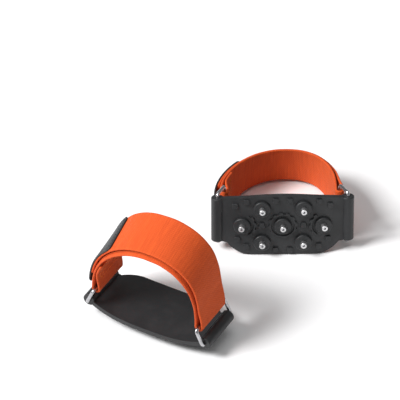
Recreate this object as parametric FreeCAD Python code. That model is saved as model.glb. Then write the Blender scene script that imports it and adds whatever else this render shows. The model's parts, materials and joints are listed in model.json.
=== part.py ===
import FreeCAD, Part
import math
import os

# A pair of mid-foot ice cleats.  Each cleat is a rubber tread plate with seven steel
# studs, a wire ring in a rubber sleeve at each end, and one webbing strap that is sewn
# round one ring, threaded through the other and closed back on itself.
# Each cleat is described in its own frame, in mm: X across the foot, toe towards -Y,
# Z up, Y zero at the middle of the sleeves and Z zero on the ground.  The pair's own
# origin is the tip of the left cleat's centre stud.

# Tread plate
PLATE_T = 4.0
PLATE_FLAT_HALF = 20.0
PLATE_BEND_R = 110.0
PLATE_END_X = 50.0
TOE_EDGE_MID_Y = -25.0
TOE_EDGE_END_Y = -20.4
HEEL_EDGE_Y = 30.4
HEEL_EDGE_END_Y = 20.2
HEEL_FLAT_HALF = 27.0
HEEL_CURVE = [(47.0, HEEL_EDGE_END_Y), (42.5, 25.2), (37.0, HEEL_EDGE_Y), (HEEL_FLAT_HALF, HEEL_EDGE_Y)]
OUTLINE_OVERRUN = 2.0
SLAB_HALF_W = 40.0
OUTLINE_TALL = 60.0
STUD_ROW_Y = 3.0

# Studs and their bosses
BOSS_R = 7.25
BOSS_H = 3.0
BOSS_ROUND = 1.1
BOSS_SINK = 3.4
STUD_R = 2.5
STUD_OUT = 4.8
STUD_TIP_ROUND = 0.5
FLANGE_R = 4.5
FLANGE_T = 1.2
FLANGE_DEPTH = 4.0
PIN_R = 1.1
PIN_OUT = 0.5
PIN_TIP_R = 0.6
PIN_IN = 3.0
STUD_FIT = 0.02
CUT_PAST = 1.0
END_STUD_X = 33.6
STUD_PLACES = [
    (0.0, 0.0),
    (-END_STUD_X, 0.0),
    (END_STUD_X, 0.0),
    (-17.3, -16.0),
    (17.3, -16.0),
    (-17.3, 15.8),
    (17.3, 15.8),
]

# Raised tread between the bosses
LUG_H = 1.6
LUG_SIZE = 4.6
LUG_SINK = 1.5
LUG_CORNER_ROUND = 0.6
LUG_TOP_ROUND = 0.35
LUG_PLACES = [
    (39.2, -15.2),
    (30.0, -19.4),
    (5.9, -20.6),
    (37.4, 16.4),
    (30.0, 22.8),
    (5.9, 26.2),
]
WEDGE_X = 17.3
WEDGE_NARROW = 3.4
WEDGE_WIDE = 5.6
WEDGE_LONG = 5.0
WEDGE_Y = 2.4
RIB_H = 1.2
RIB_SINK = 1.2
RIB_IN_R = 9.9
RIB_OUT_R = 12.3
RIB_TOOTH = 1.3
RIB_TEETH_FULL = 12
RIB_TOOTH_SHARES = (0.06, 0.44, 0.56, 0.94)
RIB_CURVE_STEPS = 3
SIDE_RIB_SPAN_DEG = 120.0

# End sleeves and wire rings
SLEEVE_R = 5.3
SLEEVE_HALF_LEN = 20.2
SLEEVE_OUT = 4.6
SLEEVE_RISE = 0.4
SLEEVE_END_ROUND = 0.8
SLIT_W = 0.8
SLIT_LEAN_DEG = 35.0
WIRE_R = 1.5
WIRE_FIT = 0.08
RING_LEN = 46.0
RING_HIGH = 15.0
RING_CORNER_R = 2.5
RING_LEAN_DEG = 24.0

# Strap
STRAP_HALF_W = 19.0
STRAP_T = 1.8
WRAP_CLEAR = 0.6
ARCH_H = 65.0
ARCH_POWER = 2.2
ARCH_RUN = 183.0
TOE_SHIFT = 8.0
LOOP_SHIFT = 8.0
SHIFT_POWER = 1.5
CREST_TILT_DEG = 20.0
LAYER_GAP = 1.5
HEEL_SHIFT = 3.5
HEEL_SHIFT_RUN = 50.0
MERGE_RUN = 17.0
TAIL_LEN = 27.0
TAIL_GAP = 0.5
PEEL_AT = 0.54
PEEL_CLEAR = 0.3
END_AT = 0.06
PAD_T = 0.5
PAD_HALF_W = 16.0
PAD_SEAT = 0.02
LOOP_PAD_FROM = 0.09
LOOP_PAD_TO = 0.68
HOOK_PAD_FROM = 0.08
HOOK_PAD_TO = 0.51
TAB_T = 1.6
TAB_FROM = 0.0
TAB_TO = 0.27
SLOPE_STEP = 0.004
TAIL_STATIONS = 9
TAB_END_STATIONS = 4
RUN_STATIONS = 40
FOLD_STATIONS = 13

# Second cleat: it stands on its heel edge behind the first, tread to the front
STAND_LEAN_DEG = 11.0
STAND_TURN_DEG = 30.5
STAND_X = 47.0
STAND_Y = 123.0

NEAR = 0.01

V = FreeCAD.Vector
UP = V(0, 0, 1)
ACROSS = V(0, 1, 0)


def plate_angle(x):
    """Bend angle of the plate at a distance along X, signed like x."""
    over = max(0.0, abs(x) - PLATE_FLAT_HALF)
    return math.copysign(math.asin(over / PLATE_BEND_R), x)


def plate_mid(x):
    """Middle of the plate's thickness above x."""
    base = PIN_OUT + STUD_OUT + BOSS_H + PLATE_T / 2
    lift = PLATE_BEND_R * (1 - math.cos(plate_angle(x)))
    return V(x, 0, base + lift)


def plate_frame(x, y):
    """Placement with its origin on the plate's tread face and its Z out of that face."""
    a = plate_angle(x)
    out = V(math.sin(a), 0, -math.cos(a))
    place = plate_mid(x) + V(0, y, 0) + out * (PLATE_T / 2)
    turn = FreeCAD.Rotation(V(math.cos(a), 0, math.sin(a)), V(0, -1, 0), out, "ZXY")
    return FreeCAD.Placement(place, turn)


def sleeve_centre(side):
    a = plate_angle(PLATE_END_X)
    end = plate_mid(PLATE_END_X)
    along = V(math.cos(a), 0, math.sin(a))
    inward = V(-math.sin(a), 0, math.cos(a))
    c = end + along * SLEEVE_OUT + inward * SLEEVE_RISE
    return V(side * c.x, 0, c.z)


def ring_top(side):
    c = sleeve_centre(side)
    lean = math.radians(RING_LEAN_DEG)
    return V(c.x - side * RING_HIGH * math.sin(lean), 0, c.z + RING_HIGH * math.cos(lean))


def placed(shape, placement):
    moved = shape.copy()
    moved.Placement = placement.multiply(moved.Placement)
    return moved


# ---- tread plate -------------------------------------------------------------------

def plate_outline():
    """Outline of the plate seen from above, as a solid tall enough to cut the bent slab."""
    reach = PLATE_END_X + OUTLINE_OVERRUN
    toe_ends = {side: V(side * reach, TOE_EDGE_END_Y, 0) for side in (-1, 1)}
    edges = [Part.Arc(toe_ends[-1], V(0, TOE_EDGE_MID_Y, 0), toe_ends[1]).toShape()]
    for side in (-1, 1):
        heel_end = V(side * reach, HEEL_EDGE_END_Y, 0)
        poles = [V(side * x, y, 0) for x, y in HEEL_CURVE]
        curve = Part.BezierCurve()
        curve.setPoles(poles)
        edges.append(Part.makeLine(toe_ends[side], heel_end))
        edges.append(Part.makeLine(heel_end, poles[0]))
        edges.append(curve.toShape())
    flat_ends = [V(side * HEEL_FLAT_HALF, HEEL_EDGE_Y, 0) for side in (-1, 1)]
    edges.append(Part.makeLine(*flat_ends))
    face = Part.Face(Part.Wire(Part.__sortEdges__(edges)))
    return face.extrude(V(0, 0, OUTLINE_TALL))


def plate_slab():
    """Bent slab of even thickness, wider than the plate."""
    half = PLATE_T / 2
    a = plate_angle(PLATE_END_X)
    z = plate_mid(0).z
    flat = PLATE_FLAT_HALF
    centre_z = z + PLATE_BEND_R

    def on_arc(side, radius, angle):
        x = side * (flat + radius * math.sin(angle))
        return V(x, -SLAB_HALF_W, centre_z - radius * math.cos(angle))

    edges = []
    for offset in (half, -half):
        radius = PLATE_BEND_R + offset
        ends = [on_arc(side, radius, 0) for side in (-1, 1)]
        edges.append(Part.makeLine(ends[0], ends[1]))
        for side in (-1, 1):
            arc = Part.Arc(on_arc(side, radius, 0), on_arc(side, radius, a / 2), on_arc(side, radius, a))
            edges.append(arc.toShape())
    for side in (-1, 1):
        inner = on_arc(side, PLATE_BEND_R - half, a)
        outer = on_arc(side, PLATE_BEND_R + half, a)
        edges.append(Part.makeLine(inner, outer))
    wire = Part.Wire(Part.__sortEdges__(edges))
    return Part.Face(wire).extrude(V(0, 2 * SLAB_HALF_W, 0))


def edges_at_top(shape, height):
    return [e for e in shape.Edges if e.BoundBox.ZMin > height - NEAR]


def boss():
    """Round boss with a rolled rim, standing on the tread face."""
    body = Part.makeCylinder(BOSS_R, BOSS_H + BOSS_SINK, V(0, 0, -BOSS_SINK))
    return body.makeFillet(BOSS_ROUND, edges_at_top(body, BOSS_H))


def lug():
    """Square block of raised tread."""
    half = LUG_SIZE / 2
    block = Part.makeBox(LUG_SIZE, LUG_SIZE, LUG_H + LUG_SINK, V(-half, -half, -LUG_SINK))
    upright = [e for e in block.Edges if e.BoundBox.ZLength > LUG_H]
    block = block.makeFillet(LUG_CORNER_ROUND, upright)
    return block.makeFillet(LUG_TOP_ROUND, edges_at_top(block, LUG_H))


def wedge():
    """Trapezoid lug, wider towards the heel."""
    long_half = WEDGE_LONG / 2
    corners = [
        V(-WEDGE_WIDE / 2, -long_half, -LUG_SINK),
        V(WEDGE_WIDE / 2, -long_half, -LUG_SINK),
        V(WEDGE_NARROW / 2, long_half, -LUG_SINK),
        V(-WEDGE_NARROW / 2, long_half, -LUG_SINK),
    ]
    face = Part.Face(Part.makePolygon(corners + [corners[0]]))
    block = face.extrude(V(0, 0, LUG_H + LUG_SINK))
    return block.makeFillet(LUG_TOP_ROUND, edges_at_top(block, LUG_H))


def rib(start_deg, span_deg):
    """Part of a raised ring with a notched outer edge, like a worn gear."""
    pitch = 360.0 / RIB_TEETH_FULL
    count = int(round(span_deg / pitch))
    low = RIB_OUT_R - RIB_TOOTH

    def at(radius, degrees):
        angle = math.radians(degrees)
        return V(radius * math.cos(angle), radius * math.sin(angle), -RIB_SINK)

    corners = []
    for i in range(count):
        for share, radius in zip(RIB_TOOTH_SHARES, (RIB_OUT_R, RIB_OUT_R, low, low)):
            corners.append(at(radius, start_deg + (i + share) * pitch))
    whole = span_deg >= 360.0
    if not whole:
        steps = count * RIB_CURVE_STEPS
        corners += [at(RIB_IN_R, start_deg + count * pitch * (1 - i / steps)) for i in range(steps + 1)]
    ring = Part.Face(Part.makePolygon(corners + [corners[0]])).extrude(V(0, 0, RIB_H + RIB_SINK))
    if whole:
        ring = ring.cut(Part.makeCylinder(RIB_IN_R, RIB_H + 3 * RIB_SINK, V(0, 0, -2 * RIB_SINK)))
    return ring


def stud_cavity():
    """Room in the rubber for the stud's shank and flange."""
    bottom = BOSS_H - FLANGE_DEPTH
    shank = Part.makeCylinder(STUD_R + STUD_FIT, FLANGE_DEPTH + CUT_PAST, V(0, 0, bottom))
    flange_t = FLANGE_T + 2 * STUD_FIT
    flange = Part.makeCylinder(FLANGE_R + STUD_FIT, flange_t, V(0, 0, bottom - STUD_FIT))
    return shank.fuse(flange)


def sleeve(side):
    c = sleeve_centre(side)
    tube = Part.makeCylinder(SLEEVE_R, 2 * SLEEVE_HALF_LEN, V(c.x, -SLEEVE_HALF_LEN, c.z), ACROSS)
    rims = [e for e in tube.Edges if e.BoundBox.YLength < NEAR]
    return tube.makeFillet(SLEEVE_END_ROUND, rims)


def sleeve_bore(side):
    """Hole for the ring's lower bar and the slit it is pressed in through."""
    c = sleeve_centre(side)
    start = -SLEEVE_HALF_LEN - CUT_PAST
    length = -2 * start
    bore = Part.makeCylinder(WIRE_R + WIRE_FIT, length, V(c.x, start, c.z), ACROSS)
    slit = Part.makeBox(SLEEVE_R + CUT_PAST, length, SLIT_W, V(0, start, -SLIT_W / 2))
    slit.rotate(V(0, 0, 0), ACROSS, -90 - side * SLIT_LEAN_DEG)
    slit.translate(V(c.x, 0, c.z))
    return bore.fuse(slit)


def make_plate():
    plate = plate_slab().common(plate_outline())
    for side in (-1, 1):
        plate = plate.fuse(sleeve(side))
    raised = [placed(boss(), plate_frame(x, y + STUD_ROW_Y)) for x, y in STUD_PLACES]
    for side in (-1, 1):
        raised += [placed(lug(), plate_frame(side * x, y)) for x, y in LUG_PLACES]
    for x in (-WEDGE_X, WEDGE_X):
        raised.append(placed(wedge(), plate_frame(x, WEDGE_Y)))
    raised.append(placed(rib(-90.0, 360.0), plate_frame(0, STUD_ROW_Y)))
    half_span = SIDE_RIB_SPAN_DEG / 2
    for x, middle_deg in ((-END_STUD_X, 0.0), (END_STUD_X, 180.0)):
        side_rib = rib(middle_deg - half_span, SIDE_RIB_SPAN_DEG)
        raised.append(placed(side_rib, plate_frame(x, STUD_ROW_Y)))
    plate = plate.fuse(raised)
    cuts = [placed(stud_cavity(), plate_frame(x, y + STUD_ROW_Y)) for x, y in STUD_PLACES]
    cuts += [sleeve_bore(side) for side in (-1, 1)]
    for cut in cuts:
        plate = plate.cut(cut)
    return plate.removeSplitter()


# ---- studs ---------------------------------------------------------------------------

def make_stud():
    shank = Part.makeCylinder(STUD_R, FLANGE_DEPTH + STUD_OUT, V(0, 0, BOSS_H - FLANGE_DEPTH))
    shank = shank.makeFillet(STUD_TIP_ROUND, edges_at_top(shank, BOSS_H + STUD_OUT))
    flange = Part.makeCylinder(FLANGE_R, FLANGE_T, V(0, 0, BOSS_H - FLANGE_DEPTH))
    hole = Part.makeCylinder(PIN_R, PIN_IN + CUT_PAST, V(0, 0, BOSS_H + STUD_OUT - PIN_IN))
    return shank.fuse(flange).removeSplitter().cut(hole)


def make_pin():
    top = BOSS_H + STUD_OUT
    pin = Part.makeCylinder(PIN_R, PIN_IN, V(0, 0, top - PIN_IN))
    crown = Part.makeCone(PIN_R, PIN_TIP_R, PIN_OUT, V(0, 0, top))
    return pin.fuse(crown).removeSplitter()


# ---- wire rings ------------------------------------------------------------------------

def make_ring(side):
    """Closed rounded-rectangle ring of round wire, lower bar in the sleeve."""
    half = RING_LEN / 2
    r = RING_CORNER_R
    straight = RING_HIGH - 2 * r
    pieces = []
    for z in (0.0, RING_HIGH):
        pieces.append(Part.makeCylinder(WIRE_R, RING_LEN - 2 * r, V(0, -half + r, z), ACROSS))
    for y in (-half, half):
        pieces.append(Part.makeCylinder(WIRE_R, straight, V(0, y, r), UP))
    for y_sign in (-1, 1):
        for z, z_sign in ((r, -1), (RING_HIGH - r, 1)):
            centre = V(0, y_sign * (half - r), z)
            disc = Part.Face(Part.Wire(Part.makeCircle(WIRE_R, centre + V(0, y_sign * r, 0), UP)))
            pieces.append(disc.revolve(centre, V(y_sign * z_sign, 0, 0), 90))
    ring = pieces[0].fuse(pieces[1:]).removeSplitter()
    lean = -side * RING_LEAN_DEG
    ring.rotate(V(0, 0, 0), ACROSS, lean)
    ring.translate(sleeve_centre(side))
    return ring


# ---- strap -------------------------------------------------------------------------------

def smooth(t):
    t = min(1.0, max(0.0, t))
    return t * t * (3 - 2 * t)


def spread(first, last, count):
    return [first + (last - first) * i / (count - 1) for i in range(count)]


def wrap_radius():
    """Bar centre to the middle of the strap's thickness."""
    return WIRE_R + WRAP_CLEAR + STRAP_T / 2


def arch_point(t):
    """Middle of the under-run; t is 0 at the sewn ring and 1 at the loop ring."""
    left = ring_top(-1).x - wrap_radius()
    right = ring_top(1).x - wrap_radius()
    half = (right - left) / 2
    angle = math.pi * (1 - t)
    power = 2.0 / ARCH_POWER
    reach = math.copysign(abs(math.cos(angle)) ** power, math.cos(angle))
    rise = abs(math.sin(angle)) ** power
    shift = rise ** SHIFT_POWER
    x = (left + right) / 2 + half * reach + LOOP_SHIFT * shift
    return V(x, -TOE_SHIFT * shift, ring_top(1).z + ARCH_H * rise)


def arch_frame(t):
    """Middle, width direction and outward direction of the under-run at t."""
    ahead = arch_point(min(1.0, t + SLOPE_STEP))
    behind = arch_point(max(0.0, t - SLOPE_STEP))
    along = (ahead - behind).normalize()
    p = arch_point(t)
    rise = (p.z - ring_top(1).z) / ARCH_H
    tilt = math.radians(CREST_TILT_DEG) * smooth(rise)
    lay = V(0, math.cos(tilt), math.sin(tilt))
    width = (lay - along * lay.dot(along)).normalize()
    return p, width, along.cross(width)


def over_frame(t, lift=0.0):
    """The return run: it lies on the under-run and creeps towards the heel side."""
    p, width, out = arch_frame(t)
    from_fold = (1 - t) * ARCH_RUN
    gap = 2 * wrap_radius()
    gap += (STRAP_T + LAYER_GAP - gap) * smooth(from_fold / MERGE_RUN)
    creep = HEEL_SHIFT * smooth(from_fold / HEEL_SHIFT_RUN)
    return p + out * (gap + lift) + width * creep, width, out


def tail_frame(t):
    """The sewn tail: it lies on the foot side of the under-run."""
    p, width, out = arch_frame(t)
    gap = 2 * wrap_radius()
    gap += (STRAP_T + TAIL_GAP - gap) * smooth(t * ARCH_RUN / MERGE_RUN)
    return p - out * gap, width, out


def fold_frames(centre, first_deg, last_deg):
    """Half circle of strap round a ring bar."""
    frames = []
    for degrees in spread(first_deg, last_deg, FOLD_STATIONS):
        angle = math.radians(degrees)
        ray = V(math.cos(angle), 0, math.sin(angle))
        frames.append((centre + ray * wrap_radius(), ACROSS, ray))
    return frames


def flipped(frames):
    return [(p, width, out * -1) for p, width, out in frames]


def band(frames, half_w, thickness):
    """Solid webbing of even width and thickness through the stations."""
    wires = []
    for p, width, out in frames:
        side = width * half_w
        up = out * (thickness / 2)
        corners = [p - side - up, p + side - up, p + side + up, p - side + up]
        wires.append(Part.makePolygon(corners + [corners[0]]))
    return Part.makeLoft(wires, True, True)


def peel_gap():
    return PEEL_CLEAR / ARCH_RUN / 2


def run_places():
    return spread(0.0, 1.0, RUN_STATIONS)


def end_places():
    """Stations of the free end, from the peel line down to its tip."""
    return spread(PEEL_AT - peel_gap(), END_AT, RUN_STATIONS // 2)


def make_strap():
    """Sewn tail, sewn fold, under-run, loop fold and the return run up to the peel line."""
    tail = [tail_frame(t) for t in spread(TAIL_LEN / ARCH_RUN, 0.0, TAIL_STATIONS)]
    run = [arch_frame(t) for t in run_places()]
    back = [over_frame(t) for t in spread(1.0, PEEL_AT + peel_gap(), RUN_STATIONS // 2)]
    frames = flipped(tail)
    frames += fold_frames(ring_top(-1), 0, -180)[1:]
    frames += run[1:]
    frames += flipped(fold_frames(ring_top(1), 180, 360))[1:]
    frames += flipped(back)[1:]
    return band(frames, STRAP_HALF_W, STRAP_T)


def make_strap_end():
    return band([over_frame(t) for t in end_places()], STRAP_HALF_W, STRAP_T)


def make_loop_pad():
    """Sewn on the outside of the under-run, under the return run."""
    lift = STRAP_T / 2 + PAD_SEAT + PAD_T / 2
    frames = [arch_frame(t) for t in run_places() if LOOP_PAD_FROM <= t <= LOOP_PAD_TO]
    return band([(p + out * lift, width, out) for p, width, out in frames], PAD_HALF_W, PAD_T)


def make_hook_pad():
    """Sewn on the inside of the free end."""
    lift = -(STRAP_T / 2 + PAD_SEAT + PAD_T / 2)
    frames = [over_frame(t, lift) for t in end_places() if HOOK_PAD_FROM <= t <= HOOK_PAD_TO]
    return band(frames, PAD_HALF_W, PAD_T)


def make_end_tab():
    """Stiff pull tab on the outside of the free end."""
    lift = STRAP_T / 2 + PAD_SEAT + TAB_T / 2
    places = [t for t in end_places() if t < TAB_TO]
    below = spread(END_AT, TAB_FROM, TAB_END_STATIONS)[1:]
    return band([over_frame(t, lift) for t in [TAB_TO] + places + below], STRAP_HALF_W, TAB_T)


# ---- assembly ------------------------------------------------------------------------------

def make_cleat():
    """Every piece of one cleat in the cleat's own frame, by name."""
    pieces = {"tread_plate": make_plate()}
    for number, (x, y) in enumerate(STUD_PLACES, 1):
        seat = plate_frame(x, y + STUD_ROW_Y)
        pieces["stud_%d" % number] = placed(make_stud(), seat)
        pieces["stud_pin_%d" % number] = placed(make_pin(), seat)
    pieces["sewn_ring"] = make_ring(-1)
    pieces["loop_ring"] = make_ring(1)
    pieces["strap"] = make_strap()
    pieces["strap_end"] = make_strap_end()
    pieces["loop_pad"] = make_loop_pad()
    pieces["hook_pad"] = make_hook_pad()
    pieces["pull_tab"] = make_end_tab()
    return pieces


def standing(pieces):
    """Placement that stands a cleat on its heel edge with its tread towards the front."""
    tip = FreeCAD.Rotation(V(1, 0, 0), -(90 + STAND_LEAN_DEG))
    turn = FreeCAD.Rotation(UP, STAND_TURN_DEG)
    stood = FreeCAD.Placement(V(0, 0, 0), turn.multiply(tip))
    lowest = min(placed(shape, stood).optimalBoundingBox(False).ZMin for shape in pieces.values())
    edge = stood.multVec(V(0, HEEL_EDGE_Y, plate_mid(0).z))
    return FreeCAD.Placement(V(STAND_X - edge.x, STAND_Y - edge.y, -lowest), stood.Rotation)


def on_ground():
    """Placement of the left cleat: centre stud at the origin."""
    return FreeCAD.Placement(V(0, -STUD_ROW_Y, 0), FreeCAD.Rotation())


def main():
    os.makedirs("parts", exist_ok=True)
    cleat = make_cleat()
    places = {"left": on_ground(), "right": standing(cleat)}
    for side, placement in places.items():
        for name, shape in cleat.items():
            placed(shape, placement).exportStep("parts/%s_%s.step" % (side, name))


main()
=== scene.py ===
import json
import math

import bmesh
import bpy
from mathutils import Matrix, Vector, noise


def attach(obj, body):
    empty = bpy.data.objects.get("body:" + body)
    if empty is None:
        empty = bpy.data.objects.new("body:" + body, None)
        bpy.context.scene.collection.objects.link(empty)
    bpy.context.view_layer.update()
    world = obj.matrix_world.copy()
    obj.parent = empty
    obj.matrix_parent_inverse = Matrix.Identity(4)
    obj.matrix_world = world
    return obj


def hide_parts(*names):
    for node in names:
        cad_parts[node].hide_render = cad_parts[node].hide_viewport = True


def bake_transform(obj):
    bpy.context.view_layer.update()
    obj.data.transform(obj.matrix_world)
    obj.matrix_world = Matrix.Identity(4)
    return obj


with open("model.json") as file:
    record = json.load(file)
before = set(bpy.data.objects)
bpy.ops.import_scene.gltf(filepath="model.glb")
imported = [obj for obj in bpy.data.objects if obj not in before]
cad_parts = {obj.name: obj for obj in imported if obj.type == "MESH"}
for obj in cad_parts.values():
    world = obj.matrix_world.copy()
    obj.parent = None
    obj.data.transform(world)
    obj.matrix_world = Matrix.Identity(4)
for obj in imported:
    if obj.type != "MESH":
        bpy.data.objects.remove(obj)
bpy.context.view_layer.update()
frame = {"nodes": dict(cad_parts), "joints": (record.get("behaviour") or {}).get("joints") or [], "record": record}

# ---------------------------------------------------------------- sizes, in metres
MM = 0.001

# Strap: t runs from 0 at the sewn ring's fold to 1 at the loop ring's fold.
STRAP_HALF_W = 19.0 * MM
STRAP_T = 1.8 * MM
WRAP_R = 3.0 * MM               # mid-line of a fold round a ring's bar
ARCH_H = 65.0 * MM
ARCH_POWER = 2.2                # 2 is an ellipse, more is squarer
ARCH_RUN = 183.0 * MM
TOE_SHIFT = 8.0 * MM
LOOP_SHIFT = 8.0 * MM
SHIFT_POWER = 1.5
CREST_TILT = math.radians(20.0)
LAYER_GAP = 1.5 * MM
HEEL_SHIFT = 3.5 * MM           # how far the return run creeps to the heel
HEEL_SHIFT_RUN = 50.0 * MM
MERGE_RUN = 17.0 * MM           # length over which two layers close up after a fold
TAIL_LEN = 27.0 * MM
TAIL_GAP = 0.5 * MM
PEEL_AT = 0.54
PEEL_BLEND = 0.07               # how far each side of the peel line the bend's start and stop points lie; nothing uses them
SEAM_AT = PEEL_AT + 0.085       # where the end piece meets the piece on the strap's body
END_AT = 0.06
TANGENT_STEP = 0.004
TAIL_STATIONS, RUN_STATIONS, BACK_STATIONS = 24, 150, 60
FOLD_STATIONS, END_STATIONS, PAD_STATIONS, HOOK_STATIONS = 20, 110, 90, 80

# Webbing section: half-round edges, and a selvedge swelling just inside them.
PROFILE_STEPS = 28
PROFILE_PACKING = 1.25
ROUND_STEPS = 6
EDGE_ROUND = 0.9                # of half the thickness
FACE_SHARE = 0.96
SELVEDGE_W = 2.2 * MM
SELVEDGE_AT = 0.75
SELVEDGE_SHARP = 3.0
SELVEDGE_BEAD = 0.10 * MM

# Slow waves on the faces and edges of the webbing.
STRAP_RIPPLE = 0.12 * MM
PILE_RIPPLE = 0.05 * MM
WAVES_PER_M = 45.0
FINE_WAVE = 3.1
FINE_WAVE_SHARE = 0.25
EDGE_WAVES_PER_M = 90.0
EDGE_WAVE = 0.18 * MM
EDGE_ZONE = 0.8                 # the outer part of the half width, where the edge wave acts
EDGES_APART = 2.0               # keeps the waves of the two edges different
SEED_OFFSETS = Vector((5.0, 7.3, 3.1))
END_SEED, PILE_SEED, TAPE_SEED = 20, 3, 4
UV_PER_M = 1000.0
SHARP_EDGE = math.radians(55)

# Hook and loop pads, and the standing hooks.
LAYER_CLEAR = 0.02 * MM
PAD_T = 0.5 * MM
PAD_HALF_W = 16.0 * MM
LOOP_PAD_FROM, LOOP_PAD_TO = 0.103, 0.666
HOOK_PAD_FROM, HOOK_PAD_TO = END_AT + 0.02, PEEL_AT - 0.03
HOOKS_INSET_T = 0.005
HOOKS_INSET_W = 0.6 * MM
HOOK_PITCH = 1.9 * MM
HOOK_H = 0.38 * MM
HOOK_HALF_W = 0.16 * MM
HOOK_LEAN = 0.25 * MM
HOOK_TAPER = 0.5
HOOK_SCATTER = 0.2              # of the pitch
HOOK_NOISE_STEP = 0.7

# Pull tab.
TAB_T = 1.6 * MM
TAB_FROM = 0.0
TAB_TO = 0.27
TAB_CORNER = 5.0 * MM
TAB_EDGE_ROUND = 0.7 * MM
TAB_GROOVE_IN, TAB_GROOVE_OUT = 2.6 * MM, 3.4 * MM
TAB_GROOVE_DEEP = 0.18 * MM
TAB_STEPS_LONG, TAB_STEPS_WIDE = 60, 36
TAB_PACKING = 1.4

# Thread.
STITCH_LEN = 2.2 * MM
STITCH_GAP = 0.9 * MM
STITCH_R = 0.28 * MM
STITCH_RINGS, STITCH_SIDES = 7, 8
STITCH_ARCH, STITCH_SINK = 1.1, 0.75
STITCH_THIN = 0.55              # of the radius, at a stitch's two ends
STITCH_FLAT = 1.25
STITCH_LOOK_AHEAD = 0.1 * MM
SEAM_STEPS = 12
BOX_HALF_W = 14.0 * MM
BOX_NEAR, BOX_FAR = 9.0 * MM, 24.0 * MM
TAB_SEAM_IN = 3.0 * MM
TAB_SEAM_SINK = 0.1 * MM

ACROSS = Vector((0, 1, 0))
WELD = 1e-6


# ---------------------------------------------------------------- one cleat's frame
JOINTS = {j["name"]: j for j in frame["joints"]}


def cleat_matrix(side):
    """The cleat's own frame: X across the foot, -Y to the toe, Z away from the ground."""
    sewn = Vector(JOINTS[side + "_sewn_ring_swing"]["pos_m"])
    loop = Vector(JOINTS[side + "_loop_ring_swing"]["pos_m"])
    x = (loop - sewn).normalized()
    y = Vector(JOINTS[side + "_sewn_ring_swing"]["axis"]).normalized()
    z = x.cross(y)
    m = Matrix((x, y, z)).transposed().to_4x4()
    m.translation = (sewn + loop) / 2
    return m


FRAMES = {side: cleat_matrix(side) for side in ("left", "right")}
SEWN_BAR = FRAMES["left"].inverted() @ Vector(JOINTS["left_strap_swing"]["pos_m"])
LOOP_BAR = Vector((-SEWN_BAR.x, SEWN_BAR.y, SEWN_BAR.z))


# ---------------------------------------------------------------- strap stations
# A station is (point, direction across the webbing, direction out of its outer face).
def smooth(t):
    t = min(1.0, max(0.0, t))
    return t * t * (3 - 2 * t)


def spread(first, last, count):
    return [first + (last - first) * i / (count - 1) for i in range(count)]


def arch_point(t):
    left = SEWN_BAR.x - WRAP_R
    right = LOOP_BAR.x - WRAP_R
    half = (right - left) / 2
    angle = math.pi * (1 - t)
    power = 2.0 / ARCH_POWER
    reach = math.copysign(abs(math.cos(angle)) ** power, math.cos(angle))
    rise = abs(math.sin(angle)) ** power
    shift = rise ** SHIFT_POWER
    x = (left + right) / 2 + half * reach + LOOP_SHIFT * shift
    return Vector((x, -TOE_SHIFT * shift, SEWN_BAR.z + ARCH_H * rise))


def arch_frame(t):
    """Station on the run over the foot."""
    ahead = arch_point(min(1.0, t + TANGENT_STEP))
    behind = arch_point(max(0.0, t - TANGENT_STEP))
    along = (ahead - behind).normalized()
    p = arch_point(t)
    tilt = CREST_TILT * smooth((p.z - SEWN_BAR.z) / ARCH_H)
    lay = Vector((0, math.cos(tilt), math.sin(tilt)))
    width = (lay - along * lay.dot(along)).normalized()
    return p, width, along.cross(width)


def over_frame(t, lift=0.0):
    """Station on the return run, which lies over the run."""
    p, width, out = arch_frame(t)
    from_fold = (1 - t) * ARCH_RUN
    gap = 2 * WRAP_R
    gap += (STRAP_T + LAYER_GAP - gap) * smooth(from_fold / MERGE_RUN)
    creep = HEEL_SHIFT * smooth(from_fold / HEEL_SHIFT_RUN)
    return p + out * (gap + lift) + width * creep, width, out


def tail_frame(t):
    """Station on the sewn tail, which lies under the run."""
    p, width, out = arch_frame(t)
    gap = 2 * WRAP_R
    gap += (STRAP_T + TAIL_GAP - gap) * smooth(t * ARCH_RUN / MERGE_RUN)
    return p - out * gap, width, out


def fold_frames(centre, first_deg, last_deg):
    """Stations round a ring's bar."""
    frames = []
    for degrees in spread(first_deg, last_deg, FOLD_STATIONS):
        angle = math.radians(degrees)
        ray = Vector((math.cos(angle), 0, math.sin(angle)))
        frames.append((centre + ray * WRAP_R, ACROSS.copy(), ray))
    return frames


def flipped(frames):
    return [(p, w, o * -1) for p, w, o in frames]


def run_lengths(points):
    """How far along the points each one is."""
    lengths = [0.0]
    for a, b in zip(points, points[1:]):
        lengths.append(lengths[-1] + (b - a).length)
    return lengths


# ---------------------------------------------------------------- webbing
def finished_mesh(bm, name):
    bmesh.ops.recalc_face_normals(bm, faces=bm.faces)
    mesh = bpy.data.meshes.new(name)
    bm.to_mesh(mesh)
    bm.free()
    return mesh


def webbing_profile(half_w, thickness, bead):
    """Closed outline across the webbing: (across, up) pairs."""
    half_t = thickness / 2
    round_r = half_t * EDGE_ROUND
    flat_half = half_w - round_r
    face_up = half_t * FACE_SHARE
    top = []
    for i in range(PROFILE_STEPS + 1):
        v = -1 + 2 * i / PROFILE_STEPS
        v = math.copysign(1 - (1 - abs(v)) ** PROFILE_PACKING, v)
        across = v * flat_half
        edge = (half_w - abs(across)) / SELVEDGE_W
        swell = bead * math.exp(-((edge - SELVEDGE_AT) ** 2) * SELVEDGE_SHARP)
        top.append((across, face_up + swell))
    right = []
    for i in range(1, ROUND_STEPS):
        a = math.pi / 2 - math.pi * i / ROUND_STEPS
        right.append((flat_half + round_r * math.cos(a), face_up * math.sin(a)))
    bottom = [(x, -y) for x, y in reversed(top)]
    left = [(-x, -y) for x, y in right]
    return top + right + bottom + left


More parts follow.
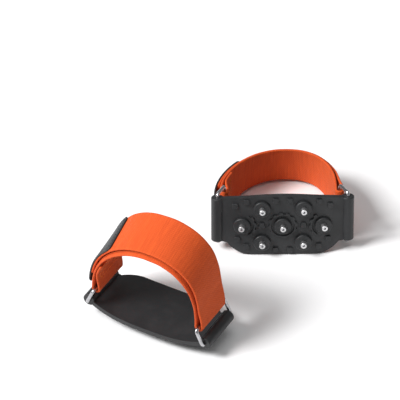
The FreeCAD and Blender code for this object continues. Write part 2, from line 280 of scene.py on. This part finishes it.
def band_mesh(name, frames, half_w, thickness, bead=0.0, ripple=0.0, seed=0):
    """Webbing swept along the stations, with UVs in millimetres along and across."""
    profile = webbing_profile(half_w, thickness, bead)
    n = len(profile)
    shift = SEED_OFFSETS * seed
    bm = bmesh.new()
    uv = bm.loops.layers.uv.new("uv")
    lengths = run_lengths([p for p, w, o in frames])
    rows = []
    for (p, w, o), u in zip(frames, lengths):
        row = []
        for x, y in profile:
            at = Vector((u * WAVES_PER_M, x * WAVES_PER_M + shift.y, shift.z))
            wave = noise.noise(at) * ripple
            wave += noise.noise(at * FINE_WAVE) * ripple * FINE_WAVE_SHARE
            edge_at = Vector((u * EDGE_WAVES_PER_M, shift.x, math.copysign(EDGES_APART, x)))
            grow = 1.0
            if abs(x) > half_w * EDGE_ZONE:
                grow += noise.noise(edge_at) * EDGE_WAVE / half_w
            row.append(bm.verts.new(p + w * (x * grow) + o * (y + wave)))
        rows.append(row)
    for i in range(len(rows) - 1):
        for k in range(n):
            k2 = (k + 1) % n
            face = bm.faces.new((rows[i][k], rows[i][k2], rows[i + 1][k2], rows[i + 1][k]))
            face.smooth = True
            us = (lengths[i], lengths[i], lengths[i + 1], lengths[i + 1])
            vs = (profile[k][0], profile[k2][0], profile[k2][0], profile[k][0])
            for loop, uu, vv in zip(face.loops, us, vs):
                loop[uv].uv = (uu * UV_PER_M, vv * UV_PER_M)
    for ring in (list(reversed(rows[0])), rows[-1]):
        cap = bm.faces.new(ring)
        for loop in cap.loops:
            loop[uv].uv = (0.0, 0.0)
    mesh = finished_mesh(bm, name)
    mesh.shade_smooth()
    mesh.set_sharp_from_angle(angle=SHARP_EDGE)
    return mesh


# ---------------------------------------------------------------- material helpers
MIX_FACTOR, MIX_A, MIX_B, MIX_COLOUR = 0, 6, 7, 2     # sockets of a Mix node set to RGBA


class Nodes:
    """Short way to write a node tree."""

    def __init__(self, name):
        self.mat = bpy.data.materials.new(name)
        self.mat.use_nodes = True
        self.tree = self.mat.node_tree
        self.bsdf = self.tree.nodes["Principled BSDF"]
        self.object = self.add("ShaderNodeTexCoord").outputs["Object"]

    def add(self, kind, **values):
        node = self.tree.nodes.new(kind)
        for key, value in values.items():
            setattr(node, key, value)
        return node

    def link(self, a, b):
        self.tree.links.new(a, b)

    def put(self, target, value):
        if isinstance(value, (int, float, tuple, list)):
            target.default_value = value
        else:
            self.link(value, target)

    def calc(self, op, a, b=0.0, clamp=False):
        node = self.add("ShaderNodeMath", operation=op, use_clamp=clamp)
        self.put(node.inputs[0], a)
        self.put(node.inputs[1], b)
        return node.outputs[0]

    def noise(self, vector, scale, detail, rough, stretch=None):
        if stretch:
            mapping = self.add("ShaderNodeMapping")
            mapping.inputs["Scale"].default_value = stretch
            self.link(vector, mapping.inputs["Vector"])
            vector = mapping.outputs[0]
        node = self.add("ShaderNodeTexNoise")
        self.link(vector, node.inputs["Vector"])
        node.inputs["Scale"].default_value = scale
        node.inputs["Detail"].default_value = detail
        node.inputs["Roughness"].default_value = rough
        return node.outputs["Fac"]

    def ramp(self, value, low, high, out_low=0.0, out_high=1.0):
        node = self.add("ShaderNodeMapRange")
        self.put(node.inputs["Value"], value)
        node.inputs["From Min"].default_value = low
        node.inputs["From Max"].default_value = high
        node.inputs["To Min"].default_value = out_low
        node.inputs["To Max"].default_value = out_high
        return node.outputs[0]

    def mix(self, factor, a, b):
        node = self.add("ShaderNodeMix", data_type="RGBA")
        self.put(node.inputs[MIX_FACTOR], factor)
        self.put(node.inputs[MIX_A], a)
        self.put(node.inputs[MIX_B], b)
        return node.outputs[MIX_COLOUR]

    def bump(self, height, strength, distance, normal=None):
        node = self.add("ShaderNodeBump")
        node.inputs["Strength"].default_value = strength
        node.inputs["Distance"].default_value = distance
        self.link(height, node.inputs["Height"])
        if normal:
            self.link(normal, node.inputs["Normal"])
        return node.outputs[0]

    def finish(self, **values):
        """Put each value on the shader's own socket of that name, and give the material."""
        for key, value in values.items():
            self.put(self.bsdf.inputs[key.replace("_", " ")], value)
        return self.mat


# ---------------------------------------------------------------- materials
ROW_PITCH = 1.05                # rows of yarn across the webbing, in millimetres
FLOAT_LEN = 1.9                 # one float of yarn along it
ROW_OFFSET = FLOAT_LEN * 0.37
SHEEN_ORANGE = (1.0, 0.55, 0.32, 1.0)
STAIN_SHARE = 0.72              # a stain's brightness, of the clean metal's


def rgb(red, green, blue):
    return (red, green, blue, 1.0)


def webbing_material(name, light, dark):
    """Woven polyester: short floats in offset rows, weft lines across and fuzz, with painted shade darkening the
    colour where the weave dips.
    """
    n = Nodes(name)
    uv = n.add("ShaderNodeUVMap", uv_map="uv").outputs[0]
    split = n.add("ShaderNodeSeparateXYZ")
    n.link(uv, split.inputs[0])
    u, v = split.outputs[0], split.outputs[1]
    row = n.calc("FLOOR", n.calc("DIVIDE", v, ROW_PITCH))
    slid = n.calc("ADD", u, n.calc("MULTIPLY", row, ROW_OFFSET))
    across = n.calc("ABSOLUTE", n.calc("SINE", n.calc("MULTIPLY", v, math.pi / ROW_PITCH)))
    along = n.calc("ABSOLUTE", n.calc("SINE", n.calc("MULTIPLY", slid, math.pi / FLOAT_LEN)))
    yarn = n.calc("MULTIPLY", n.calc("POWER", across, 0.6), n.calc("POWER", along, 0.5))
    fibre = n.noise(uv, scale=9.0, detail=2.0, rough=0.6)
    blotch = n.noise(n.object, scale=42.0, detail=3.0, rough=0.5)
    weft = n.noise(uv, scale=1.0, detail=2.0, rough=0.55, stretch=(0.95, 0.035, 1.0))
    # The yarn and weft terms darken the colour where the weave's relief dips, between the floats and along the
    # weft lines: painted shade. The fibre and blotch terms are the dye's own uneven tone.
    shade = n.calc("ADD", n.calc("MULTIPLY", yarn, 0.46), n.calc("MULTIPLY", fibre, 0.24))
    shade = n.calc("ADD", shade, n.calc("MULTIPLY", blotch, 0.16))
    weft_shade = n.ramp(weft, 0.3, 0.7, out_high=0.34)
    shade = n.calc("ADD", shade, weft_shade, clamp=True)
    height = n.calc("ADD", yarn, n.calc("MULTIPLY", fibre, 0.35))
    height = n.calc("ADD", height, n.calc("MULTIPLY", weft, 0.9))
    return n.finish(
        Base_Color=n.mix(shade, dark, light),
        Roughness=n.ramp(fibre, 0.3, 0.7, out_low=0.72, out_high=0.9),
        Normal=n.bump(height, strength=0.75, distance=0.00026),
        Sheen_Weight=0.14,
        Sheen_Roughness=0.45,
        Sheen_Tint=SHEEN_ORANGE,
        Specular_IOR_Level=0.25,
    )


def rubber_material(name, low, high, dusty):
    """Moulded rubber: fine grain, faint flow marks and a little pale dust."""
    n = Nodes(name)
    grain = n.noise(n.object, scale=2600.0, detail=3.0, rough=0.6)
    flow = n.noise(n.object, scale=120.0, detail=4.0, rough=0.55, stretch=(0.5, 1.0, 1.0))
    dust = n.noise(n.object, scale=55.0, detail=5.0, rough=0.6)
    patch = n.ramp(dust, 0.48, 0.72)
    grained = n.bump(grain, strength=0.30, distance=0.00007)
    return n.finish(
        Base_Color=n.mix(n.calc("MULTIPLY", patch, 0.30), n.mix(flow, low, high), dusty),
        Roughness=n.ramp(flow, 0.3, 0.7, out_low=0.40, out_high=0.54),
        Normal=n.bump(flow, strength=0.10, distance=0.0006, normal=grained),
        Specular_IOR_Level=0.5,
    )


def steel_material(name, base, rough_low, rough_high, scratch=(0.2, 1.0, 1.0)):
    """Bright or dull metal with fine scratches and faint darker stains."""
    n = Nodes(name)
    dull = rgb(*(c * STAIN_SHARE for c in base))
    fine = n.noise(n.object, scale=1400.0, detail=3.0, rough=0.6, stretch=scratch)
    stain = n.noise(n.object, scale=300.0, detail=4.0, rough=0.6)
    return n.finish(
        Base_Color=n.mix(n.ramp(stain, 0.35, 0.7), rgb(*base), dull),
        Roughness=n.ramp(fine, 0.3, 0.7, rough_low, rough_high),
        Normal=n.bump(fine, strength=0.12, distance=0.00004),
        Metallic=1.0,
    )


def tab_material(name, low, high):
    """Stiff black plastic, finely grained and worn in patches."""
    n = Nodes(name)
    grain = n.noise(n.object, scale=1500.0, detail=3.0, rough=0.7)
    wear = n.noise(n.object, scale=90.0, detail=4.0, rough=0.6)
    return n.finish(
        Base_Color=n.mix(wear, low, high),
        Roughness=n.ramp(wear, 0.3, 0.7, out_low=0.42, out_high=0.62),
        Normal=n.bump(grain, strength=0.4, distance=0.00009),
    )


def pile_material(name, light, dark, scale):
    """Looped or hooked nap."""
    n = Nodes(name)
    nap = n.noise(n.object, scale, detail=4.0, rough=0.75)
    return n.finish(
        Base_Color=n.mix(nap, dark, light),
        Roughness=0.92,
        Normal=n.bump(nap, strength=0.9, distance=0.0004),
        Sheen_Weight=0.10,
        Sheen_Roughness=0.5,
        Sheen_Tint=light,
        Specular_IOR_Level=0.15,
    )


def floor_material(name, low, high):
    n = Nodes(name)
    speck = n.noise(n.object, scale=30.0, detail=4.0, rough=0.6)
    return n.finish(Base_Color=n.mix(speck, low, high), Roughness=0.75)


MATERIALS = {
    "rubber": rubber_material(
        "rubber", rgb(0.0100, 0.0108, 0.0120), rgb(0.0175, 0.0186, 0.0202), rgb(0.040, 0.041, 0.043)
    ),
    "stud_steel": steel_material("stud_steel", (0.90, 0.90, 0.91), 0.30, 0.48),
    "carbide": steel_material("carbide", (0.16, 0.16, 0.17), 0.3, 0.5),
    "ring_steel": steel_material(
        "ring_steel", (0.52, 0.52, 0.54), 0.14, 0.30, scratch=(1.0, 0.12, 1.0)
    ),
    "webbing": webbing_material("webbing", rgb(0.74, 0.108, 0.018), rgb(0.42, 0.038, 0.006)),
    "loop_fabric": pile_material(
        "loop_fabric", rgb(0.62, 0.10, 0.022), rgb(0.30, 0.035, 0.008), 1500.0
    ),
    "hook_fabric": pile_material(
        "hook_fabric", rgb(0.55, 0.085, 0.02), rgb(0.26, 0.03, 0.007), 2200.0
    ),
    "tab": tab_material("tab", rgb(0.012, 0.0125, 0.0135), rgb(0.028, 0.029, 0.031)),
    "thread": webbing_material("thread", rgb(0.95, 0.25, 0.06), rgb(0.7, 0.13, 0.02)),
    "black_thread": pile_material(
        "black_thread", rgb(0.05, 0.05, 0.052), rgb(0.015, 0.015, 0.016), 3000.0
    ),
}

slot_of = {s["node"]: s["material_slot"] for s in frame["record"]["subparts"]}
for node, obj in frame["nodes"].items():
    obj.data.materials.clear()
    obj.data.materials.append(MATERIALS[slot_of[node]])
    for face in obj.data.polygons:
        face.material_index = 0


# ---------------------------------------------------------------- stitches
def place_on(run, lengths, s):
    """Point and outward direction at distance s along a seam."""
    s = min(max(s, 0.0), lengths[-1])
    for i in range(len(lengths) - 1):
        if lengths[i + 1] >= s:
            f = (s - lengths[i]) / max(1e-9, lengths[i + 1] - lengths[i])
            point = run[i][0].lerp(run[i + 1][0], f)
            return point, run[i][1].lerp(run[i + 1][1], f).normalized()
    return run[-1]


def add_stitch(bm, run, lengths, s0, s1):
    """One thread, sunk at both ends and fattest in the middle."""
    rings = []
    for f in spread(0.0, 1.0, STITCH_RINGS):
        s = s0 + (s1 - s0) * f
        p, out = place_on(run, lengths, s)
        ahead, _ = place_on(run, lengths, s + STITCH_LOOK_AHEAD)
        sideways = (ahead - p).normalized().cross(out).normalized()
        swell = math.sin(math.pi * f)
        lift = swell * STITCH_R * STITCH_ARCH - STITCH_R * STITCH_SINK
        fat = STITCH_R * (STITCH_THIN + (1 - STITCH_THIN) * swell)
        ring = []
        for m in range(STITCH_SIDES):
            a = 2 * math.pi * m / STITCH_SIDES
            up = lift + fat * math.sin(a)
            ring.append(bm.verts.new(p + out * up + sideways * (fat * STITCH_FLAT * math.cos(a))))
        rings.append(ring)
    for a, b in zip(rings, rings[1:]):
        for m in range(STITCH_SIDES):
            m2 = (m + 1) % STITCH_SIDES
            bm.faces.new((a[m], a[m2], b[m2], b[m])).smooth = True
    bm.faces.new(list(reversed(rings[0])))
    bm.faces.new(rings[-1])


def stitch_mesh(name, runs):
    """Rows of short thread stitches. A run is a list of (point, out) along the seam."""
    bm = bmesh.new()
    for run in runs:
        lengths = run_lengths([p for p, out in run])
        count = max(1, int(lengths[-1] / (STITCH_LEN + STITCH_GAP)))
        pitch = lengths[-1] / count
        for k in range(count):
            add_stitch(bm, run, lengths, k * pitch + STITCH_GAP / 2, (k + 1) * pitch - STITCH_GAP / 2)
    return finished_mesh(bm, name)


def seam(frame_at, points, lift):
    """A seam through (t, across) points, on a band's outer face, or inner where lift is negative."""
    def place(t, across):
        p, w, o = frame_at(t)
        return p + w * across + o * lift, o * math.copysign(1, lift)

    run = []
    for (t0, v0), (t1, v1) in zip(points, points[1:]):
        for i in range(SEAM_STEPS):
            f = i / SEAM_STEPS
            run.append(place(t0 + (t1 - t0) * f, v0 + (v1 - v0) * f))
    run.append(place(*points[-1]))
    return run


# ---------------------------------------------------------------- hooks
def nap_mesh(name, seed):
    """Small tapered hooks standing on the hook pad, leaning alternately."""
    t_from = HOOK_PAD_FROM + HOOKS_INSET_T
    t_to = HOOK_PAD_TO - HOOKS_INSET_T
    half_w = PAD_HALF_W - HOOKS_INSET_W
    base = -(STRAP_T / 2 + PAD_T)
    rows = int((t_to - t_from) * ARCH_RUN / HOOK_PITCH)
    cols = int(2 * half_w / HOOK_PITCH)
    bm = bmesh.new()
    for i in range(rows):
        t = t_from + (t_to - t_from) * (i + 0.5) / rows
        p, w, o = over_frame(t)
        ahead, _, _ = over_frame(t + TANGENT_STEP / 2)
        along = (ahead - p).normalized()
        for k in range(cols):
            across = -half_w + 2 * half_w * (k + 0.5) / cols
            at = Vector((i * HOOK_NOISE_STEP, k * HOOK_NOISE_STEP, seed))
            foot = p + w * (across + noise.noise(at) * HOOK_SCATTER * HOOK_PITCH) + o * base
            tip = foot - o * HOOK_H + along * (HOOK_LEAN * (1 if k % 2 else -1))
            low, high = [], []
            for a, b in ((-1, -1), (1, -1), (1, 1), (-1, 1)):
                corner = along * (HOOK_HALF_W * a) + w * (HOOK_HALF_W * b)
                low.append(bm.verts.new(foot + corner))
                high.append(bm.verts.new(tip + corner * HOOK_TAPER))
            for m in range(4):
                m2 = (m + 1) % 4
                bm.faces.new((low[m], low[m2], high[m2], high[m]))
            bm.faces.new(high)
            bm.faces.new(list(reversed(low)))
    return finished_mesh(bm, name)


# ---------------------------------------------------------------- pull tab
def tab_mesh(name):
    """Stiff tab with round corners and edges, and a groove for its thread."""
    lift = STRAP_T / 2 + LAYER_CLEAR + TAB_T / 2
    length = (TAB_TO - TAB_FROM) * ARCH_RUN
    bm = bmesh.new()
    for face_side in (1, -1):
        grid = []
        for i in range(TAB_STEPS_LONG + 1):
            f = i / TAB_STEPS_LONG
            s = f * length
            p, w, o = over_frame(TAB_FROM + (TAB_TO - TAB_FROM) * f, lift)
            near = min(s, length - s)
            inset = 0.0
            if near < TAB_CORNER:
                inset = TAB_CORNER - math.sqrt(max(0.0, TAB_CORNER ** 2 - (TAB_CORNER - near) ** 2))
            row = []
            for k in range(TAB_STEPS_WIDE + 1):
                v = -1 + 2 * k / TAB_STEPS_WIDE
                v = math.copysign(1 - (1 - abs(v)) ** TAB_PACKING, v)
                across = v * (STRAP_HALF_W - inset)
                rim = min(near, (STRAP_HALF_W - inset) - abs(across))
                edge = min(1.0, rim / TAB_EDGE_ROUND)
                up = TAB_T / 2 * math.sqrt(max(0.0, 1 - (1 - edge) ** 2))
                if face_side > 0 and TAB_GROOVE_IN < rim < TAB_GROOVE_OUT:
                    up -= TAB_GROOVE_DEEP
                row.append(bm.verts.new(p + w * across + o * (up * face_side)))
            grid.append(row)
        for i in range(TAB_STEPS_LONG):
            for k in range(TAB_STEPS_WIDE):
                quad = [grid[i][k], grid[i][k + 1], grid[i + 1][k + 1], grid[i + 1][k]]
                if face_side < 0:
                    quad.reverse()
                bm.faces.new(quad).smooth = True
    bmesh.ops.remove_doubles(bm, verts=bm.verts, dist=WELD)
    mesh = finished_mesh(bm, name)
    mesh.shade_smooth()
    return mesh


# ---------------------------------------------------------------- straps of one cleat
def add_piece(mesh, side, slot, body=None, material=None):
    """An object for a mesh made in the cleat's frame. A piece with no body stays unattached."""
    obj = bpy.data.objects.new(mesh.name, mesh)
    bpy.context.scene.collection.objects.link(obj)
    mesh.materials.append(MATERIALS[material or slot])
    mesh.transform(FRAMES[side])
    if body:
        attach(obj, side + "_" + body)
    return obj


def bend_at_peel(piece, side):
    """Finds where a bend across the peel line would start and stop, but does not use them: it only bakes the
    piece's transform into its mesh.
    """
    start = FRAMES[side] @ over_frame(PEEL_AT + PEEL_BLEND)[0]
    stop = FRAMES[side] @ over_frame(PEEL_AT - PEEL_BLEND)[0]
    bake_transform(piece)


def make_webbing(side, seed):
    """Sewn tail, fold, run over the foot, fold and return run, then the free end."""
    tail = [tail_frame(t) for t in spread(TAIL_LEN / ARCH_RUN, 0.0, TAIL_STATIONS)]
    run = [arch_frame(t) for t in spread(0.0, 1.0, RUN_STATIONS)]
    back = [over_frame(t) for t in spread(1.0, SEAM_AT, BACK_STATIONS)]
    frames = flipped(tail)
    frames += fold_frames(SEWN_BAR, 0, -180)[1:]
    frames += run[1:]
    frames += flipped(fold_frames(LOOP_BAR, 180, 360))[1:]
    frames += flipped(back)[1:]
    mesh = band_mesh(
        side + "_webbing", frames, STRAP_HALF_W, STRAP_T, SELVEDGE_BEAD, STRAP_RIPPLE, seed
    )
    webbing = add_piece(mesh, side, "webbing", "strap_body")
    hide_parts(side + "_strap")

    frames = flipped([over_frame(t) for t in spread(SEAM_AT, END_AT, END_STATIONS)])
    mesh = band_mesh(
        side + "_webbing_end", frames, STRAP_HALF_W, STRAP_T, SELVEDGE_BEAD, STRAP_RIPPLE,
        seed + END_SEED,
    )
    end = add_piece(mesh, side, "webbing")
    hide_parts(side + "_strap_end")
    bend_at_peel(end, side)


def make_pads(side, seed):
    """Loop pile on the outside of the run, and hook tape with its hooks inside the free end."""
    lift = STRAP_T / 2 + LAYER_CLEAR + PAD_T / 2
    frames = []
    for t in spread(LOOP_PAD_FROM, LOOP_PAD_TO, PAD_STATIONS):
        p, w, o = arch_frame(t)
        frames.append((p + o * lift, w, o))
    mesh = band_mesh(
        side + "_loop_pile", frames, PAD_HALF_W, PAD_T, ripple=PILE_RIPPLE, seed=seed + PILE_SEED
    )
    pile = add_piece(mesh, side, "loop_fabric", "strap_body")
    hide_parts(side + "_loop_pad")

    frames = [over_frame(t, -lift) for t in spread(HOOK_PAD_FROM, HOOK_PAD_TO, HOOK_STATIONS)]
    mesh = band_mesh(side + "_hook_tape", frames, PAD_HALF_W, PAD_T, seed=seed + TAPE_SEED)
    hook = add_piece(mesh, side, "hook_fabric")
    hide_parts(side + "_hook_pad")
    bend_at_peel(hook, side)
    hooks = add_piece(nap_mesh(side + "_hooks", seed), side, "hook_fabric")
    bend_at_peel(hooks, side)


def make_tab(side):
    tab = add_piece(tab_mesh(side + "_tab"), side, "tab", "strap_end_body")
    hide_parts(side + "_pull_tab")


def make_thread(side):
    """A crossed box through the sewn tail, and a line round the tab."""
    near, far, w = BOX_NEAR / ARCH_RUN, BOX_FAR / ARCH_RUN, BOX_HALF_W
    lines = [
        [(near, -w), (far, -w), (far, w), (near, w), (near, -w)],
        [(near, -w), (far, w)],
        [(near, w), (far, -w)],
    ]
    mesh = stitch_mesh(side + "_box_stitch", [seam(tail_frame, line, -STRAP_T / 2) for line in lines])
    add_piece(mesh, side, "webbing", "strap_body", material="thread")

    near, far = END_AT + TAB_SEAM_IN / ARCH_RUN, TAB_TO - TAB_SEAM_IN / ARCH_RUN
    w = STRAP_HALF_W - TAB_SEAM_IN
    line = [(near, -w), (far, -w), (far, w), (near, w), (near, -w)]
    face = STRAP_T / 2 + LAYER_CLEAR + TAB_T - TAB_SEAM_SINK
    mesh = stitch_mesh(side + "_tab_stitch", [seam(over_frame, line, face)])
    add_piece(mesh, side, "tab", "strap_end_body", material="black_thread")


for side, seed in (("left", 1), ("right", 2)):
    make_webbing(side, seed)
    make_pads(side, seed)
    make_tab(side)
    make_thread(side)


# ---------------------------------------------------------------- studio
FLOOR_HALF = 4.0
CAM_AZ = math.radians(29.5)
CAM_EL = math.radians(40.0)
CAM_DIST = 3.0
CAM_SENSOR = 36.0               # millimetres
PX_PER_M = 1220.0
PICTURE_PX = 400.0
AIM = Vector((-2.4, 70.0, 76.3)) * MM
RIGHT_HAND = Vector((math.cos(CAM_AZ), math.sin(CAM_AZ), 0))
TOWARDS = Vector((math.sin(CAM_AZ), -math.cos(CAM_AZ), 0))
UP = Vector((0, 0, 1))
CENTRE = Vector((0.0, 0.07, 0.04))
WORLD_LIGHT = 0.24


def make_floor():
    bm = bmesh.new()
    corners = ((-1, -1), (1, -1), (1, 1), (-1, 1))
    bm.faces.new([bm.verts.new((x * FLOOR_HALF, y * FLOOR_HALF, 0.0)) for x, y in corners])
    mesh = bpy.data.meshes.new("floor")
    bm.to_mesh(mesh)
    bm.free()
    mesh.materials.append(floor_material("floor", rgb(0.86, 0.86, 0.865), rgb(0.9, 0.9, 0.905)))
    obj = bpy.data.objects.new("floor", mesh)
    bpy.context.scene.collection.objects.link(obj)


def area_light(name, offset, size, power):
    """A square light at an offset from the object, pointing at it."""
    data = bpy.data.lights.new(name, "AREA")
    data.shape = "RECTANGLE"
    data.size = size
    data.size_y = size
    data.energy = power
    obj = bpy.data.objects.new(name, data)
    bpy.context.scene.collection.objects.link(obj)
    obj.location = CENTRE + offset
    obj.rotation_euler = (-offset).to_track_quat("-Z", "Y").to_euler()


def make_camera():
    data = bpy.data.cameras.new("camera")
    data.sensor_width = CAM_SENSOR
    data.lens = CAM_SENSOR * CAM_DIST / (PICTURE_PX / PX_PER_M)
    data.clip_start = 0.1
    data.clip_end = 20.0
    cam = bpy.data.objects.new("camera", data)
    bpy.context.scene.collection.objects.link(cam)
    back = TOWARDS * math.cos(CAM_EL) + UP * math.sin(CAM_EL)
    cam.location = AIM + back * CAM_DIST
    cam.rotation_euler = (-back).to_track_quat("-Z", "Y").to_euler()
    bpy.context.scene.camera = cam


def make_world():
    world = bpy.data.worlds.new("studio")
    world.use_nodes = True
    background = world.node_tree.nodes["Background"]
    background.inputs["Color"].default_value = (1.0, 1.0, 1.0, 1.0)
    background.inputs["Strength"].default_value = WORLD_LIGHT
    bpy.context.scene.world = world
    bpy.context.scene.view_settings.view_transform = "Standard"


make_floor()
make_camera()
area_light("key", RIGHT_HAND * -2.2 + TOWARDS * 0.7 + UP * 2.3, size=1.2, power=150.0)
area_light("fill", RIGHT_HAND * 0.9 + TOWARDS * 0.9 + UP * 0.5, size=1.0, power=0.4)
area_light("top", UP * 2.6, size=2.0, power=14.0)
make_world()
